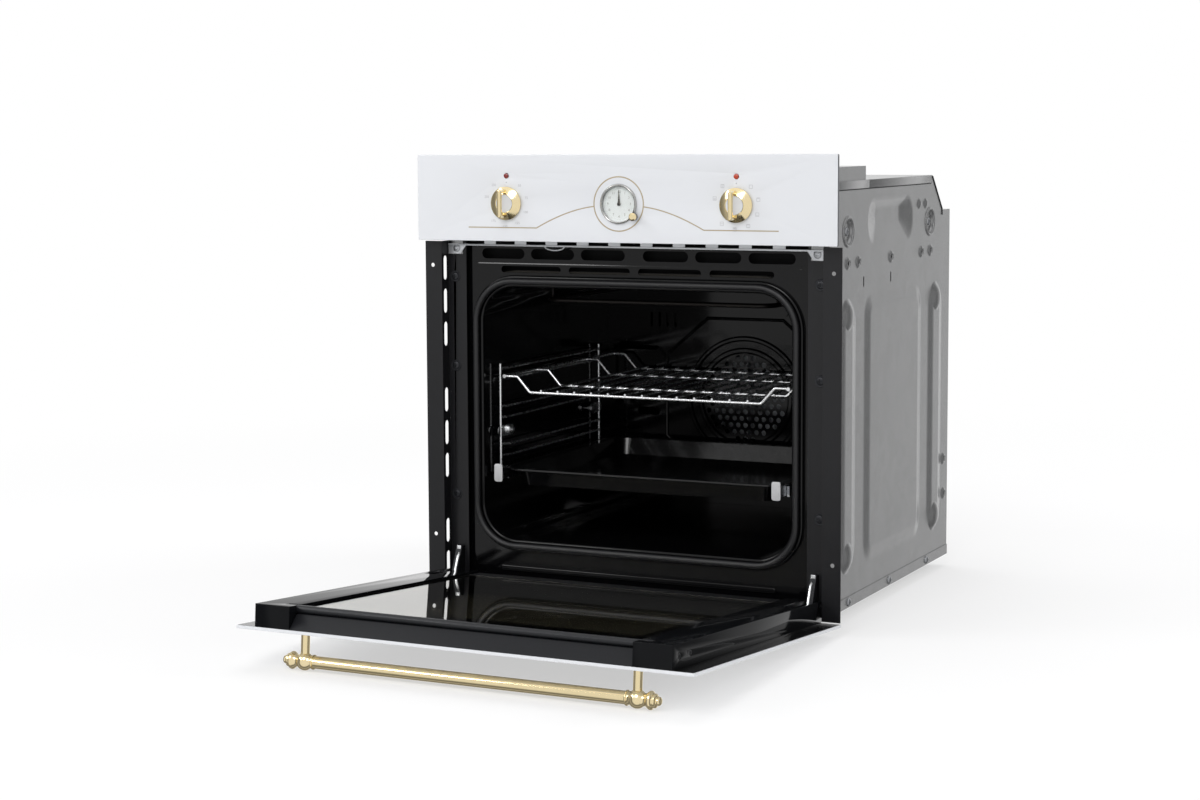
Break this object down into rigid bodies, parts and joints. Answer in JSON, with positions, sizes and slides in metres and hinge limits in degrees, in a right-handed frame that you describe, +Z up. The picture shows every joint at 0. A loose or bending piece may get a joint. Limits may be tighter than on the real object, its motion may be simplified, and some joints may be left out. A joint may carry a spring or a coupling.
{
  "type": "built-in oven",
  "caption": "Built-in electric oven with drop-down glass door, turned handle bar, control panel with knobs and clock, enamelled cavity, wire shelf and tray on runners.",
  "frame": {"origin": "middle of the base panel's underside, where the oven rests in its niche", "axes": "+X to the right seen from the front, +Y from the front to the back, +Z up"},
  "size_m": [0.595, 1.002, 0.6077],
  "materials": {
    "galvanised": "galvanised sheet",
    "satin_black": "satin",
    "black_enamel": "gloss enamel",
    "seal_rubber": "matt",
    "mineral_wool": "fibrous",
    "white_glass": "back-painted gloss",
    "door_glass": "tinted gloss",
    "red_lens": "translucent gloss",
    "black_plastic": "matt",
    "gold": "polished",
    "dark_metal": "satin",
    "dial_white": "matt",
    "motor_steel": "plain",
    "heater_steel": "heat-darkened",
    "chrome_wire": "polished",
    "bright_steel": "zinc-plated",
    "bar_black": "gloss"
  },
  "bodies": {
    "casing": {"base_panel": "galvanised", "side_panel_left": "galvanised", "side_panel_right": "galvanised", "rear_panel": "galvanised", "top_cover": "galvanised", "air_duct": "galvanised", "front_post_left": "satin_black", "front_post_right": "satin_black", "cavity_front_frame": "black_enamel", "door_seal": "seal_rubber", "cavity_wrap": "black_enamel", "cavity_back_wall": "black_enamel", "rear_baffle": "black_enamel", "insulation": "mineral_wool", "panel_carrier": "galvanised", "control_panel_glass": "white_glass", "indicator_lenses": "red_lens", "thermostat": "black_plastic", "mode_selector": "black_plastic", "clock_movement": "black_plastic", "clock_bezel": "dark_metal", "clock_dial": "dial_white", "clock_lens": "door_glass", "fan_motor": "motor_steel", "ring_heater": "heater_steel", "grill_heater": "heater_steel", "bottom_heater": "heater_steel", "oven_lamp": "door_glass", "wire_rack_left": "chrome_wire", "wire_rack_right": "chrome_wire", "rack_nuts": "chrome_wire", "runner_outers": "chrome_wire", "cooling_fan_housing": "galvanised", "terminal_box": "black_plastic", "hinge_arm_left": "bright_steel", "hinge_arm_right": "bright_steel", "front_screws": "bright_steel", "casing_screws": "bright_steel"},
    "door": {"door_outer_glass": "white_glass", "door_inner_glass": "door_glass", "door_side_left": "satin_black", "door_side_right": "satin_black", "door_top_rail": "satin_black", "door_glass_bar": "bar_black", "door_bottom_rail": "satin_black", "hinge_cassette_left": "bright_steel", "hinge_cassette_right": "bright_steel", "handle_bar": "gold", "handle_ends": "gold", "door_screws": "bright_steel"},
    "temperature_knob": {"temperature_knob": "gold"},
    "mode_knob": {"mode_knob": "gold"},
    "clock_knob": {"clock_knob": "gold"},
    "minute_hand": {"minute_hand": "dark_metal"},
    "hour_hand": {"hour_hand": "dark_metal"},
    "shelf": {"wire_shelf": "chrome_wire"},
    "tray": {"baking_tray": "black_enamel", "runner_inners": "chrome_wire"},
    "convection_fan": {"convection_fan": "motor_steel"},
    "cooling_fan": {"cooling_fan": "motor_steel"}
  },
  "joints": [
    {"name": "door_swing", "type": "hinge", "parent": "casing", "child": "door", "pos_m": [0, -0.2722, 0.0074], "axis": [-1, 0, 0], "range_deg": [0, 85.4]},
    {"name": "temperature_turn", "type": "hinge", "parent": "casing", "child": "temperature_knob", "pos_m": [-0.163, -0.285, 0.5261], "axis": [0, 1, 0], "range_deg": [0, 285]},
    {"name": "mode_turn", "type": "hinge", "parent": "casing", "child": "mode_knob", "pos_m": [0.163, -0.285, 0.5261], "axis": [0, 1, 0], "range_deg": [0, 315]},
    {"name": "clock_setting", "type": "hinge", "parent": "casing", "child": "clock_knob", "pos_m": [0.024, -0.289, 0.5105], "axis": [0, 1, 0], "continuous": true},
    {"name": "minute_turn", "type": "hinge", "parent": "casing", "child": "minute_hand", "pos_m": [0, -0.285, 0.5265], "axis": [0, 1, 0], "continuous": true},
    {"name": "hour_turn", "type": "hinge", "parent": "casing", "child": "hour_hand", "pos_m": [0, -0.285, 0.5265], "axis": [0, 1, 0], "continuous": true},
    {"name": "shelf_slide", "type": "slide", "parent": "casing", "child": "shelf", "axis": [0, 1, 0], "range_m": [-0.3, 0]},
    {"name": "tray_slide", "type": "slide", "parent": "casing", "child": "tray", "axis": [0, 1, 0], "range_m": [-0.24, 0]},
    {"name": "convection_spin", "type": "hinge", "parent": "casing", "child": "convection_fan", "pos_m": [0, 0.171, 0.2275], "axis": [0, 1, 0], "continuous": true},
    {"name": "cooling_spin", "type": "hinge", "parent": "casing", "child": "cooling_fan", "pos_m": [0, 0.04, 0.47], "axis": [0, 0, 1], "continuous": true}
  ],
  "couplings": [
    {"joint": "minute_turn", "follows": "clock_setting", "ratio": 1},
    {"joint": "hour_turn", "follows": "clock_setting", "ratio": 0.083333}
  ]
}
